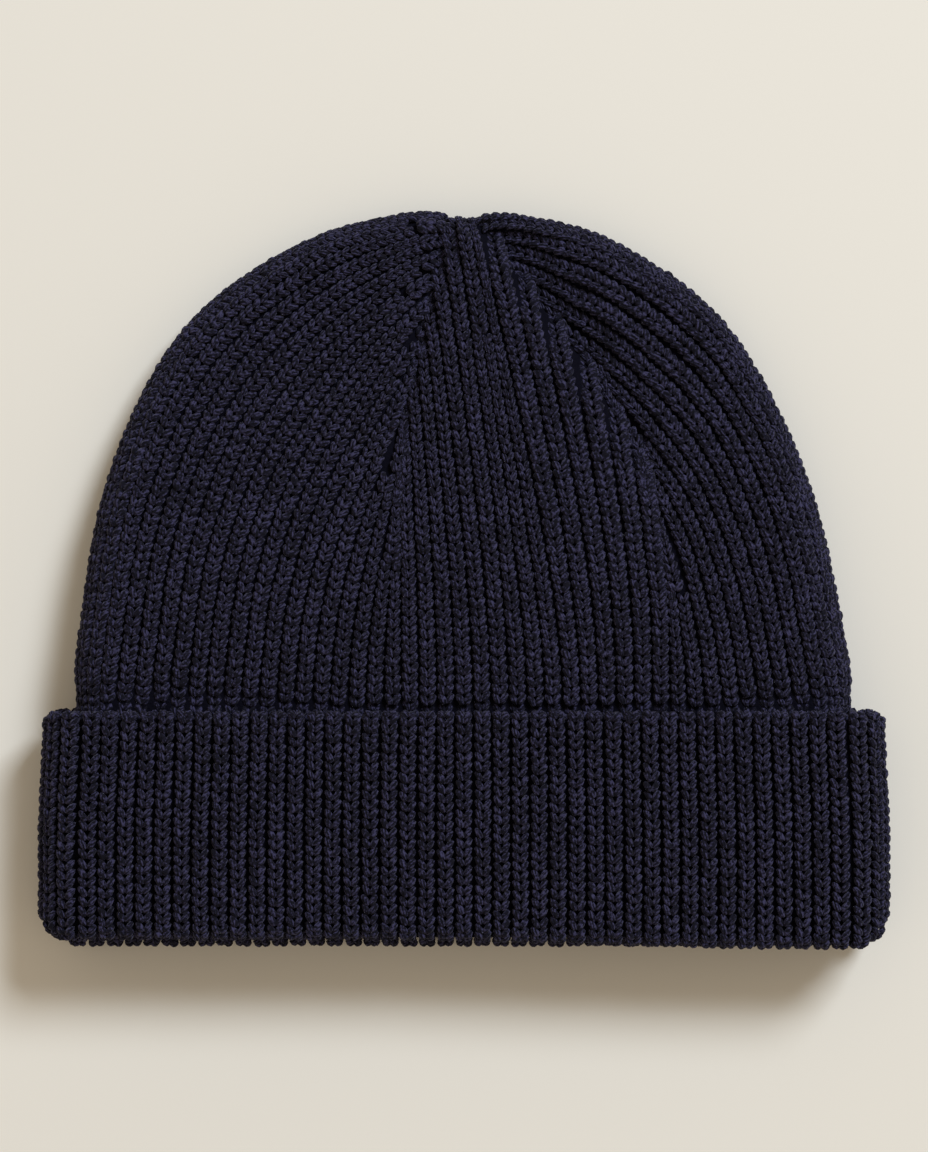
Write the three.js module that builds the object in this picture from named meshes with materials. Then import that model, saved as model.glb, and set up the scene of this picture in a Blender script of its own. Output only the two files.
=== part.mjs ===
// A cuffed beanie in chunky rib, lying flat on its back.
// Millimetres, +Z up. X runs across the hat, the mouth faces -Y and the tip points to +Y.
// The front panel faces up, and the back panel rests on the surface at Z = 0.
import * as THREE from 'three';

// Driving sizes of the hat as it lies
const CUFF_WIDTH = 232;
const CUFF_HEIGHT = 63;
const CUFF_THICKNESS = 30;
const FOLD_CORNER = 8;
const RIM_CORNER = 5;
const RIM_CORNER_DROP = 3;
const RIM_PULL = 1.2;
const PULL_START = 0.4;
const BACK_DROP = 2.4;
const CROWN_RISE = 136;
const CROWN_DRAW_IN = 3.4;
const TIP_THICKNESS = 15;
const TIP_WIDTH = 5.2;
const TIP_NOTCH = 1.1;

// Shares of the crown's rise where the back has come down to the surface and the front starts to slope
const BACK_SETTLED = 0.28;
const SLOPE_START = 0.1;

// The knitted cloth
const WALL = 3.6;
const GROOVE_DEPTH = 1.2;
const RIB_FLAT = 0.4;
const LAYER_GAP = 0.6;
const JOIN_GAP = 0.3;
const SEAT_DEPTH = 2;

// Ribs of one face, from the silhouette where the face starts to the one where it ends
const LONG_SIDE_RIBS = 20;
const MIDDLE_RIBS = 15;
const SHORT_SIDE_RIBS = 12;

// The main folds of the front, at right angles to the cloth
const DART_DEPTH = 1.6;
const DART_REACH = 3.5;
const VALLEY_DEPTH = 3.4;
const VALLEY_REACH = 8;
const RIDGE_HEIGHT = 1.8;
const RIDGE_REACH = 5;
const DENT_DEPTH = 2.4;
const DENT_REACH = 24;
const FOLD_FADE = 0.5;
const BACK_FOLD_SHARE = 0.35;

// How the ribs run: how they crowd towards the tip, how late one turns to its dart,
// and how much faster the sides sweep round than the middle rises
const CROWDING = 1.5;
const LATE_TURN = 2.6;
const SWEEP = 0.4;

// How finely the cloth is divided
const CROWN_ROWS = 11;
const LINING_ROWS = 6;
const ROW_CLOSING = 1.4;
const FOLD_STEPS = 3;
const CUFF_ROW_SHARES = [1, 0.6, 0.3];
const EDGE_STEPS = 120;

// Outlines, darts and the ribs at their feet, seen from above.
// across: share of half the crown's width at the rim; up: share of the crown's rise.
const LEFT_OUTLINE = [
  { across: -1.0, up: 0 },
  { across: -0.983, up: 0.13 },
  { across: -0.928, up: 0.41 },
  { across: -0.812, up: 0.65 },
  { across: -0.655, up: 0.815 },
  { across: -0.4, up: 0.945 },
  { across: -0.165, up: 0.996 },
  { across: -0.062, up: 1.0 },
];
const RIGHT_OUTLINE = [
  { across: 1.0, up: 0 },
  { across: 0.972, up: 0.13 },
  { across: 0.898, up: 0.41 },
  { across: 0.772, up: 0.65 },
  { across: 0.62, up: 0.815 },
  { across: 0.375, up: 0.945 },
  { across: 0.165, up: 0.992 },
  { across: 0.062, up: 0.998 },
];
const LONG_FOOT = { across: -0.163, up: 0.55 };
const LONG_DART = [
  { across: -0.118, up: 0.7 },
  { across: -0.078, up: 0.85 },
];
const LONG_FOOT_RIB = [{ across: -0.16, up: 0.28 }];
const SHORT_FOOT = { across: 0.484, up: 0.47 };
const SHORT_DART = [
  { across: 0.34, up: 0.66 },
  { across: 0.19, up: 0.82 },
  { across: 0.095, up: 0.93 },
];
const SHORT_FOOT_RIB = [{ across: 0.515, up: 0.22 }];

// Share of the middle ribs that have ended by the top of the long dart and by the far side of the tip
const LONG_DART_SHARE = 0.4;
const TIP_SHARE = 0.6;

// Where the shallow dent lies on the short side
const DENT = { across: 0.5, up: 0.56 };

// Sizes worked out from the ones above
const FACE_RIBS = LONG_SIDE_RIBS + MIDDLE_RIBS + SHORT_SIDE_RIBS;
const ALL_RIBS = 2 * FACE_RIBS;
const LIFT = WALL + LAYER_GAP;
const FOLD_RADIUS = WALL + LAYER_GAP / 2;
const SEAT_HEIGHT = FOLD_RADIUS + SEAT_DEPTH;
const CROWN_START = SEAT_HEIGHT + JOIN_GAP;
const CUFF_RADIUS = CUFF_THICKNESS / 2;
const CUFF_SPINE = CUFF_WIDTH / 2 - CUFF_RADIUS;
const CROWN_RADIUS = CUFF_RADIUS - LIFT;
const CROWN_ROOF = CUFF_THICKNESS - LIFT;
const RIM_SPINE = CUFF_SPINE - RIM_PULL - CROWN_DRAW_IN;
const CROWN_HALF = RIM_SPINE + CROWN_RADIUS;

function mix(from, to, share) {
  return from + (to - from) * share;
}

function clamp(value) {
  return Math.min(Math.max(value, 0), 1);
}

function smooth(value) {
  const share = clamp(value);
  return share * share * (3 - 2 * share);
}

function bell(distance, reach) {
  return Math.exp(-((distance / reach) ** 2));
}

// The tube inside the cuff: a long loop with round ends.
// A place round it is counted in ribs from the left silhouette, over the front and back underneath.
function tubeDirection(rib) {
  const local = rib % FACE_RIBS;
  const side = rib % ALL_RIBS < FACE_RIBS ? 1 : -1;
  const quarter = Math.PI * CROWN_RADIUS / 2;
  const along = (local / FACE_RIBS) * (2 * RIM_SPINE + 2 * quarter);
  const fromEnd = Math.min(along, 2 * RIM_SPINE + 2 * quarter - along);
  const end = along < quarter + RIM_SPINE ? -1 : 1;
  const angle = Math.min(fromEnd / CROWN_RADIUS, Math.PI / 2);
  const spine = end * (1 - Math.max(fromEnd - quarter, 0) / RIM_SPINE);
  return { spine: side * spine, outX: side * end * Math.cos(angle), outZ: side * Math.sin(angle) };
}

function tubePoint(rib, spine, radius, height) {
  const direction = tubeDirection(rib);
  const x = direction.spine * spine + direction.outX * radius;
  return new THREE.Vector3(x, height, CUFF_RADIUS + direction.outZ * radius);
}

// Half the straight part of the cuff's and of the crown's section, at a height above the fold
function cuffSpine(height) {
  return CUFF_SPINE - RIM_PULL * smooth((height / CUFF_HEIGHT - PULL_START) / (1 - PULL_START));
}

function crownSpine(height) {
  return cuffSpine(height) - CROWN_DRAW_IN * smooth((height - CROWN_START) / (CUFF_HEIGHT - CROWN_START));
}

// How much a round corner of the given size takes off the cuff's edge at one rib
function cornerCut(rib, size) {
  const direction = tubeDirection(rib);
  const reach = Math.abs(direction.spine * CUFF_SPINE + direction.outX * CUFF_RADIUS);
  const share = clamp((reach - CUFF_WIDTH / 2 + size) / size);
  return 1 - Math.sqrt(1 - share * share);
}

function betweenRibs(at, shift) {
  const rib = Math.floor(at);
  return mix(shift(rib), shift(rib + 1), at - rib);
}

// How far the fold's edge rises at the silhouettes and drops at the back
function foldShift(at) {
  return betweenRibs(at, (rib) => {
    const drop = BACK_DROP * (1 - tubeDirection(rib).outZ) / 2;
    return FOLD_CORNER * cornerCut(rib, FOLD_CORNER) - drop;
  });
}

function rimShift(at) {
  return betweenRibs(at, (rib) => -RIM_CORNER_DROP * cornerCut(rib, RIM_CORNER));
}

// Curves seen from above
function planPoint(row) {
  return new THREE.Vector2(row.across * CROWN_HALF, CUFF_HEIGHT + row.up * CROWN_RISE);
}

function planCurve(points) {
  const curve = new THREE.SplineCurve(points);
  curve.arcLengthDivisions = EDGE_STEPS;
  return curve;
}

function mirrored(curve) {
  return planCurve(curve.points.map((point) => new THREE.Vector2(-point.x, point.y)));
}

function rimPoint(rib) {
  const place = tubePoint(rib, RIM_SPINE, CROWN_RADIUS, CUFF_HEIGHT);
  return new THREE.Vector2(place.x, CUFF_HEIGHT);
}

const TIP_Y = CUFF_HEIGHT + CROWN_RISE - TIP_NOTCH;
const leftTip = new THREE.Vector2(-TIP_WIDTH / 2, TIP_Y);
const rightTip = new THREE.Vector2(TIP_WIDTH / 2, TIP_Y);
const leftOutline = planCurve([...LEFT_OUTLINE.map(planPoint), leftTip]);
const rightOutline = planCurve([...RIGHT_OUTLINE.map(planPoint), rightTip]);
const longDart = planCurve([planPoint(LONG_FOOT), ...LONG_DART.map(planPoint), leftTip]);
const shortDart = planCurve([planPoint(SHORT_FOOT), ...SHORT_DART.map(planPoint), rightTip]);
const longFootRib = planCurve([
  rimPoint(LONG_SIDE_RIBS),
  ...LONG_FOOT_RIB.map(planPoint),
  planPoint(LONG_FOOT),
]);
const shortFootRib = planCurve([
  rimPoint(LONG_SIDE_RIBS + MIDDLE_RIBS),
  ...SHORT_FOOT_RIB.map(planPoint),
  planPoint(SHORT_FOOT),
]);

// The back is the front turned over about the line from the mouth to the tip
const front = { up: 1, start: leftOutline, end: rightOutline, foldShare: 1 };
const back = {
  up: -1,
  start: mirrored(rightOutline),
  end: mirrored(leftOutline),
  foldShare: BACK_FOLD_SHARE,
};

// Samples along a curve, each with the direction that points out of the outline
function samples(curve, side) {
  const list = [];
  for (let step = 0; step < EDGE_STEPS; step += 1) {
    const share = step / EDGE_STEPS;
    const along = curve.getTangentAt(share);
    const out = new THREE.Vector2(-side * along.y, side * along.x);
    list.push({ place: curve.getPointAt(share), out, share });
  }
  return list;
}

function tipSamples() {
  const out = new THREE.Vector2(0, 1);
  return [-1, -0.5, 0, 0.5, 1].map((share) => {
    const place = new THREE.Vector2(share * TIP_WIDTH / 2, TIP_Y);
    return { place, out, share };
  });
}

for (const face of [front, back]) {
  face.edge = [...samples(face.start, 1), ...tipSamples(), ...samples(face.end, -1)];
}
const longDartSamples = samples(longDart, -1);
const shortDartSamples = samples(shortDart, -1);

function nearest(list, place) {
  let best = list[0];
  let bestDistance = Infinity;
  for (const sample of list) {
    const distance = sample.place.distanceTo(place);
    if (distance < bestDistance) {
      best = sample;
      bestDistance = distance;
    }
  }
  const offset = place.clone().sub(best.place);
  return { ...best, distance: bestDistance, beside: offset.dot(best.out) };
}

// Height of the front's folds above the smooth lay of the cloth
function foldHeight(place) {
  const long = nearest(longDartSamples, place);
  const short = nearest(shortDartSamples, place);
  const longDartGroove = -DART_DEPTH * bell(long.distance, DART_REACH);
  const shortDartGroove = -DART_DEPTH * bell(short.distance, DART_REACH);
  const strength = smooth(short.share / FOLD_FADE);
  const valley = -VALLEY_DEPTH * strength * bell(short.beside - VALLEY_REACH / 2, VALLEY_REACH);
  const ridge = RIDGE_HEIGHT * strength * bell(short.beside + RIDGE_REACH, RIDGE_REACH);
  const withinReach = bell(Math.max(short.distance - Math.abs(short.beside), 0), VALLEY_REACH);
  const dent = -DENT_DEPTH * bell(planPoint(DENT).distanceTo(place), DENT_REACH);
  return longDartGroove + shortDartGroove + (valley + ridge) * withinReach + dent;
}

// Where a middle rib ends: on the long dart, across the tip or on the short dart
function middleEnd(share) {
  if (share < LONG_DART_SHARE) return longDart.getPointAt(share / LONG_DART_SHARE);
  if (share > TIP_SHARE) return shortDart.getPointAt((1 - share) / (1 - TIP_SHARE));
  return leftTip.clone().lerp(rightTip, (share - LONG_DART_SHARE) / (TIP_SHARE - LONG_DART_SHARE));
}

// The gore that a rib belongs to: the ribs and lines at its two sides, and where this rib ends
function gore(face, local) {
  const shortStart = LONG_SIDE_RIBS + MIDDLE_RIBS;
  if (local <= LONG_SIDE_RIBS) {
    const share = local / LONG_SIDE_RIBS;
    const end = longDart.getPointAt(1 - share ** CROWDING);
    return { from: 0, to: LONG_SIDE_RIBS, left: face.start, right: longFootRib, end };
  }
  if (local < shortStart) {
    const end = middleEnd((local - LONG_SIDE_RIBS) / MIDDLE_RIBS);
    return { from: LONG_SIDE_RIBS, to: shortStart, left: longFootRib, right: shortFootRib, end };
  }
  const share = (local - shortStart) / SHORT_SIDE_RIBS;
  const end = shortDart.getPointAt(1 - (1 - share) ** CROWDING);
  return { from: shortStart, to: FACE_RIBS, left: shortFootRib, right: face.end, end };
}

function guidePoint(curve, share) {
  const isOutline = curve !== longFootRib && curve !== shortFootRib;
  const pace = isOutline ? SWEEP : -SWEEP;
  return curve.getPointAt(clamp(share + pace * share * (1 - share)));
}

// Where a rib lies, seen from above, at a share of its way from the cuff's rim to its end
function ribPlace(face, local, share) {
  const part = gore(face, local);
  const leftRim = rimPoint(part.from).x;
  const across = (rimPoint(local).x - leftRim) / (rimPoint(part.to).x - leftRim);
  const place = guidePoint(part.left, share).lerp(guidePoint(part.right, share), across);
  const unturned = guidePoint(part.left, 1).lerp(guidePoint(part.right, 1), across);
  return place.add(part.end.clone().sub(unturned).multiplyScalar(share ** LATE_TURN));
}

// Puts a place of one face on the cloth, a distance inside its outer surface
function onCloth(face, place, inset) {
  const up = (place.y - CUFF_HEIGHT) / CROWN_RISE;
  const floor = LIFT * (1 - smooth(up / BACK_SETTLED));
  const roof = mix(CROWN_ROOF, TIP_THICKNESS, smooth((up - SLOPE_START) / (1 - SLOPE_START)));
  const radius = (roof - floor) / 2;
  const edge = nearest(face.edge, place);
  const outward = Math.max(radius - edge.distance, 0) / radius;
  const upward = Math.sqrt(1 - outward * outward);
  const fold = face.foldShare * foldHeight(place) * smooth(edge.distance / radius);
  const rise = upward * (radius - inset) + (face.up > 0 ? fold : Math.min(fold, 0));
  const x = place.x - edge.out.x * outward * inset;
  const y = place.y - edge.out.y * outward * inset;
  return new THREE.Vector3(face.up * x, y, (roof + floor) / 2 + face.up * rise);
}

function crownPoint(rib, share, inset) {
  const face = rib % ALL_RIBS < FACE_RIBS ? front : back;
  return onCloth(face, ribPlace(face, rib % FACE_RIBS, share), inset);
}

// A closed body made of rows of points, joined row to row
class Shell {
  constructor() {
    this.places = [];
    this.faces = [];
  }

  row(points) {
    return points.map(({ at, place }) => {
      this.places.push(place.x, place.y, place.z);
      return { at, index: this.places.length / 3 - 1 };
    });
  }

  join(lower, upper, inward = false) {
    let a = 0;
    let b = 0;
    while (a < lower.length - 1 || b < upper.length - 1) {
      const lowerNext = a < lower.length - 1 ? lower[a + 1].at : Infinity;
      const upperNext = b < upper.length - 1 ? upper[b + 1].at : Infinity;
      const corners = [lower[a].index];
      if (lowerNext < upperNext) {
        a += 1;
        corners.push(lower[a].index, upper[b].index);
      } else {
        b += 1;
        corners.push(upper[b].index, upper[b - 1].index);
      }
      if (inward) corners.reverse();
      this.faces.push(...corners);
    }
  }

  joinRings(lower, upper, inward = false) {
    this.join(closed(lower), closed(upper), inward);
  }

  mesh(name, colour) {
    const geometry = new THREE.BufferGeometry();
    geometry.setAttribute('position', new THREE.Float32BufferAttribute(this.places, 3));
    geometry.setIndex(this.faces);
    geometry.computeVertexNormals();
    const material = new THREE.MeshStandardMaterial({ color: colour, roughness: 0.95, metalness: 0 });
    const mesh = new THREE.Mesh(geometry, material);
    mesh.name = name;
    return mesh;
  }
}

function closed(ring) {
  return [...ring, { at: ring[0].at + ALL_RIBS, index: ring[0].index }];
}

// Columns round the hat: how many ribs along, and how deep below the ribs' tops
function ribColumns() {
  const columns = [];
  for (let rib = 0; rib < ALL_RIBS; rib += 1) {
    columns.push({ at: rib, depth: GROOVE_DEPTH });
    columns.push({ at: rib + 0.5, depth: 0 });
  }
  return columns;
}

// Ribs that rest on the surface have flat tops
function flatRibColumns() {
  const columns = [];
  for (let rib = 0; rib < ALL_RIBS; rib += 1) {
    columns.push({ at: rib, depth: GROOVE_DEPTH });
    if (rib < FACE_RIBS) {
      columns.push({ at: rib + 0.5, depth: 0 });
    } else {
      columns.push({ at: rib + 0.5 - RIB_FLAT / 2, depth: 0 });
      columns.push({ at: rib + 0.5 + RIB_FLAT / 2, depth: 0 });
    }
  }
  return columns;
}

function plainColumns() {
  return Array.from({ length: ALL_RIBS }, (unused, rib) => ({ at: rib, depth: 0 }));
}

// One row of the crown's tube inside the cuff
function crownTubeRow(columns, inset, height) {
  const belowRim = 1 - height / CUFF_HEIGHT;
  return columns.map(({ at, depth }) => {
    const lift = foldShift(at) * belowRim;
    const place = tubePoint(at, crownSpine(height), CROWN_RADIUS - inset - depth, height + lift);
    return { at, place };
  });
}

// One skin of the crown, from its lower edge up to the closed darts; returns its lower row
function crownSkin(shell, columns, inset, rowCount, tubeRows, inward) {
  const lowest = shell.row(crownTubeRow(columns, inset, CROWN_START));
  let below = lowest;
  for (let step = 1; step <= tubeRows; step += 1) {
    const height = mix(CROWN_START, CUFF_HEIGHT, step / tubeRows);
    const next = shell.row(crownTubeRow(columns, inset, height));
    shell.joinRings(below, next, inward);
    below = next;
  }
  for (let step = 1; step < rowCount; step += 1) {
    const share = 1 - (1 - step / rowCount) ** ROW_CLOSING;
    const points = columns.map(({ at, depth }) => ({ at, place: crownPoint(at, share, inset + depth) }));
    const next = shell.row(points);
    shell.joinRings(below, next, inward);
    below = next;
  }
  closeCrown(shell, columns, below, inset + GROOVE_DEPTH, inward);
  return lowest;
}

// The darts and the short line across the tip, where the two faces meet
function closeCrown(shell, columns, below, inset, inward) {
  const spacing = columns[1].at - columns[0].at;
  const tipRibs = MIDDLE_RIBS * (TIP_SHARE - LONG_DART_SHARE);
  const tipSteps = Math.max(Math.round(tipRibs / spacing), 1);
  const tipPoints = Array.from({ length: tipSteps + 1 }, (unused, step) => {
    const place = leftTip.clone().lerp(rightTip, step / tipSteps);
    return { at: step / tipSteps, place: onCloth(front, place, inset) };
  });
  const tip = shell.row(tipPoints);
  for (const face of [front, back]) {
    const tipRow = face === front ? tip : [...tip].reverse();
    closeFace(shell, columns, closed(below), face, tipRow, inset, inward);
  }
}

function closeFace(shell, columns, below, face, tipRow, inset, inward) {
  const start = face === front ? 0 : FACE_RIBS;
  const shortStart = LONG_SIDE_RIBS + MIDDLE_RIBS;
  const locals = columns.map(({ at }) => at - start);
  const dartPoint = (local) => ({ at: start + local, place: onCloth(face, gore(face, local).end, inset) });
  const longLocals = locals.filter((local) => local > 0 && local <= LONG_SIDE_RIBS);
  const shortLocals = locals.filter((local) => local >= shortStart && local < FACE_RIBS);
  const long = [
    { at: start, index: tipRow[0].index },
    ...shell.row(longLocals.map(dartPoint)),
  ];
  const short = [
    ...shell.row(shortLocals.map(dartPoint)),
    { at: start + FACE_RIBS, index: tipRow[tipRow.length - 1].index },
  ];
  const within = (from, to) => below.filter(({ at }) => at >= start + from && at <= start + to);
  shell.join(within(0, LONG_SIDE_RIBS), long, inward);
  shell.join(within(shortStart, FACE_RIBS), short, inward);

  const middleAt = (share) => start + LONG_SIDE_RIBS + MIDDLE_RIBS * share;
  const upLong = [...long].reverse().map(({ at, index }) => {
    const fromFoot = 1 - ((at - start) / LONG_SIDE_RIBS) ** CROWDING;
    return { at: middleAt(LONG_DART_SHARE * fromFoot), index };
  });
  const acrossTip = tipRow.slice(1, -1).map(({ index }, step) => {
    const share = (step + 1) / (tipRow.length - 1);
    return { at: middleAt(mix(LONG_DART_SHARE, TIP_SHARE, share)), index };
  });
  const downShort = [...short].reverse().map(({ at, index }) => {
    const fromFoot = 1 - (1 - (at - start - shortStart) / SHORT_SIDE_RIBS) ** CROWDING;
    return { at: middleAt(1 - (1 - TIP_SHARE) * fromFoot), index };
  });
  shell.join(within(LONG_SIDE_RIBS, shortStart), [...upLong, ...acrossTip, ...downShort], inward);
}

function crown() {
  const shell = new Shell();
  const outer = crownSkin(shell, ribColumns(), 0, CROWN_ROWS, 2, false);
  const inner = crownSkin(shell, plainColumns(), WALL, LINING_ROWS, 1, true);
  shell.joinRings(inner, outer);
  return shell.mesh('crown', 0x211f2f);
}

// One row of the cuff: how far in from its outer face, and how far up from the fold
function cuffRow(columns, inset, height) {
  const share = height / CUFF_HEIGHT;
  return columns.map(({ at, depth }) => {
    const lift = foldShift(at) * (1 - share) + rimShift(at) * smooth((share - PULL_START) / (1 - PULL_START));
    return { at, place: tubePoint(at, cuffSpine(height), CUFF_RADIUS - inset - depth, height + lift) };
  });
}

function cuff() {
  const shell = new Shell();
  const rimSide = CUFF_HEIGHT - WALL / 2;
  const outside = CUFF_ROW_SHARES.map((share) => ({ inset: 0, height: mix(FOLD_RADIUS, rimSide, share) }));
  for (let step = 0; step <= FOLD_STEPS; step += 1) {
    const angle = Math.PI * step / FOLD_STEPS;
    outside.push({ inset: FOLD_RADIUS * (1 - Math.cos(angle)), height: FOLD_RADIUS * (1 - Math.sin(angle)) });
  }
  const seat = [
    { inset: 2 * FOLD_RADIUS, height: SEAT_HEIGHT, columns: plainColumns() },
    { inset: LIFT, height: SEAT_HEIGHT, columns: ribColumns() },
  ];
  const inside = [
    { inset: LIFT, height: FOLD_RADIUS },
    { inset: WALL, height: FOLD_RADIUS },
    { inset: WALL, height: rimSide },
    { inset: WALL / 2, height: CUFF_HEIGHT },
  ];
  const rows = [
    ...outside.map(({ inset, height }) => shell.row(cuffRow(flatRibColumns(), inset, height))),
    ...seat.map(({ inset, height, columns }) => shell.row(cuffRow(columns, inset, height))),
    ...inside.map(({ inset, height }) => shell.row(cuffRow(plainColumns(), inset, height))),
  ];
  rows.forEach((row, step) => shell.joinRings(row, rows[(step + 1) % rows.length], true));
  return shell.mesh('cuff', 0x242234);
}

// The hat stands with the middle of its bounding box over the origin
const group = new THREE.Group();
group.add(crown(), cuff());
const box = new THREE.Box3().setFromObject(group);
const middle = box.getCenter(new THREE.Vector3());
group.position.set(-middle.x, -middle.y, -box.min.z);

export default group;
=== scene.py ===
# %% [markdown]
# # A knitted beanie
# The real hat is one tube of chunky one-by-one rib in dark navy wool. Its lower end is turned up
# as a cuff, and its top is closed by four darts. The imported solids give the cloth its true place
# and thickness. This lesson lays every stitch on that cloth, so that the light finds real relief.

import bmesh
import bpy
import numpy as np
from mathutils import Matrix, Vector


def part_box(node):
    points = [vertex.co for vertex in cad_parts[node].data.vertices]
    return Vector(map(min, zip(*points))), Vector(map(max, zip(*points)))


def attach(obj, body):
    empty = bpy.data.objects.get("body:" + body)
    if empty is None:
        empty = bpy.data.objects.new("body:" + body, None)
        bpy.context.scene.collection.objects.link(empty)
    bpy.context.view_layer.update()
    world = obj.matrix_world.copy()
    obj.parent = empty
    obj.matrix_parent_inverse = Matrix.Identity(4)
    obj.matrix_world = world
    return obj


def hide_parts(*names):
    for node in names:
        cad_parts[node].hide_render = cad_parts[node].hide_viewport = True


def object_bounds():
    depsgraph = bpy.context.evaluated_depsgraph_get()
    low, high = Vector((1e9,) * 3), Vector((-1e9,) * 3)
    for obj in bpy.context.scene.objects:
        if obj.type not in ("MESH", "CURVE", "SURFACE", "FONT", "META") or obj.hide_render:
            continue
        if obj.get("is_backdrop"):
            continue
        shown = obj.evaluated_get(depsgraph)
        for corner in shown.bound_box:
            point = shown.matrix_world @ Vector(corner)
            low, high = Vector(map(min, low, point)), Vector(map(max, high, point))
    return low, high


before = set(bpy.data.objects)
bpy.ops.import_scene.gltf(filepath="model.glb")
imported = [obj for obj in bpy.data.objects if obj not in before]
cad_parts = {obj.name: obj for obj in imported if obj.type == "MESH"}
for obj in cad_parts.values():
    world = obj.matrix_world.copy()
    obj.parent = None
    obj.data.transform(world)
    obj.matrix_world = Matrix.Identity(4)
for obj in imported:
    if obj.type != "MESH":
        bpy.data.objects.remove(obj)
cad_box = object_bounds()
chance = np.random.default_rng(47)
print("packed hat in mm:", [round(1000 * side, 1) for side in cad_box[1] - cad_box[0]])

# %% [markdown]
# The stitches must follow the cloth, so the hat's sizes are given here in millimetres: the cuff,
# the fold, the crown and the lines that its ribs follow. They are those of the solids, except that
# the fold's back edge hangs 0.8 mm lower, its front edge slopes and the front's folds are deeper.

# %% Sizes of the hat
CUFF_WIDTH, CUFF_HEIGHT, CUFF_THICKNESS = 232, 63, 30
FOLD_CORNER, RIM_CORNER, RIM_CORNER_DROP = 8, 5, 3
RIM_PULL, PULL_START, BACK_DROP = 1.2, 0.4, 3.2
FRONT_SLOPE, FRONT_RAISE = 2.4, 0.25
CROWN_RISE, CROWN_DRAW_IN = 136, 3.4
TIP_THICKNESS, TIP_WIDTH, TIP_NOTCH = 15, 5.2, 1.1
BACK_SETTLED, SLOPE_START = 0.28, 0.1
WALL, LAYER_GAP, SEAT_DEPTH, JOIN_GAP = 3.6, 0.6, 2, 0.3
LONG_RIBS, MIDDLE_RIBS, SHORT_RIBS = 20, 15, 12
DART_DEPTH, DART_REACH = 1.6, 3.5
VALLEY_DEPTH, VALLEY_REACH = 3.4, 8
RIDGE_HEIGHT, RIDGE_REACH = 1.8, 5
DENT_DEPTH, DENT_REACH = 2.4, 24
FOLD_FADE, BACK_FOLD_SHARE = 0.5, 0.35
CROWDING, LATE_TURN, SWEEP = 1.5, 2.6, 0.4
END_STEP, FOLD_STRENGTH = 0.015, 1.3
LONG_DART_SHARE, TIP_SHARE = 0.4, 0.6

SHORT_START = LONG_RIBS + MIDDLE_RIBS
FACE_RIBS = SHORT_START + SHORT_RIBS
ALL_RIBS = 2 * FACE_RIBS
LIFT = WALL + LAYER_GAP
FOLD_RADIUS = WALL + LAYER_GAP / 2
CROWN_START = FOLD_RADIUS + SEAT_DEPTH + JOIN_GAP
CUFF_RADIUS = CUFF_THICKNESS / 2
CUFF_SPINE = CUFF_WIDTH / 2 - CUFF_RADIUS
CROWN_RADIUS = CUFF_RADIUS - LIFT
CROWN_ROOF = CUFF_THICKNESS - LIFT
RIM_SPINE = CUFF_SPINE - RIM_PULL - CROWN_DRAW_IN
CROWN_HALF = RIM_SPINE + CROWN_RADIUS
print("ribs round the hat:", ALL_RIBS, "pitch in mm:", round(2 * CROWN_HALF / FACE_RIBS, 2))

# %% [markdown]
# The crown's outlines, its two darts and the rib at the foot of each dart are short curves, chosen
# from the photo. A few small helpers blend values and follow curves.

# %% Curves seen from above, as shares of half the crown's width and of its rise
LEFT_OUTLINE = [(-1, 0), (-0.983, 0.13), (-0.928, 0.41), (-0.812, 0.65), (-0.655, 0.815),
                (-0.4, 0.945), (-0.165, 0.996), (-0.062, 1)]
RIGHT_OUTLINE = [(1, 0), (0.972, 0.13), (0.898, 0.41), (0.772, 0.65), (0.62, 0.815),
                 (0.375, 0.945), (0.165, 0.992), (0.062, 0.998)]
LONG_DART = [(-0.163, 0.55), (-0.118, 0.7), (-0.078, 0.85)]
SHORT_DART = [(0.484, 0.47), (0.34, 0.66), (0.19, 0.82), (0.095, 0.93)]
LONG_FOOT_RIB = [(-0.16, 0.28)]
SHORT_FOOT_RIB = [(0.515, 0.22)]
DENT = (0.5, 0.56)


def mix(start, end, share):
    """A value a share of the way from start to end."""
    return start + (end - start) * share


def smooth(value):
    """0 below 0, 1 above 1, and the S-curve 3x^2 - 2x^3 between them."""
    share = np.clip(value, 0, 1)
    return share * share * (3 - 2 * share)


def bell(distance, reach):
    """1 at no distance, fading as exp(-(distance / reach)^2)."""
    return np.exp(-((distance / reach) ** 2))


def plan(rows):
    """Shares of the crown's half width and rise, turned into millimetres seen from above."""
    return np.array(rows, float) * (CROWN_HALF, CROWN_RISE) + (0, CUFF_HEIGHT)


def curve(points):
    """A Catmull-Rom curve through points, read at equal steps of its length."""
    points = np.array(points, float)
    last = len(points) - 1
    padded = np.vstack([points[:1], points, points[-1:]])

    def at(turn):
        place = np.clip(turn, 0, 1) * last
        index = np.minimum(np.floor(place).astype(int), last - 1)
        t = (place - index)[..., None]
        before, start, end, after = (padded[index + step] for step in range(4))
        leave, arrive = (end - before) / 2, (after - start) / 2
        cubic = 2 * start - 2 * end + leave + arrive
        square = -3 * start + 3 * end - 2 * leave - arrive
        return (cubic * t + square) * t * t + leave * t + start

    turns = np.linspace(0, 1, 121)
    length = np.concatenate([[0], np.cumsum(np.linalg.norm(np.diff(at(turns), axis=0), axis=1))])
    return lambda share: at(np.interp(share, length / length[-1], turns))


print("curves of the crown:", 6)

# %% [markdown]
# Seen from the mouth, the hat is a long flat loop with round ends. A place round it is counted in
# ribs from the left silhouette, and the cuff's two edges are shifted a little along it.

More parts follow.
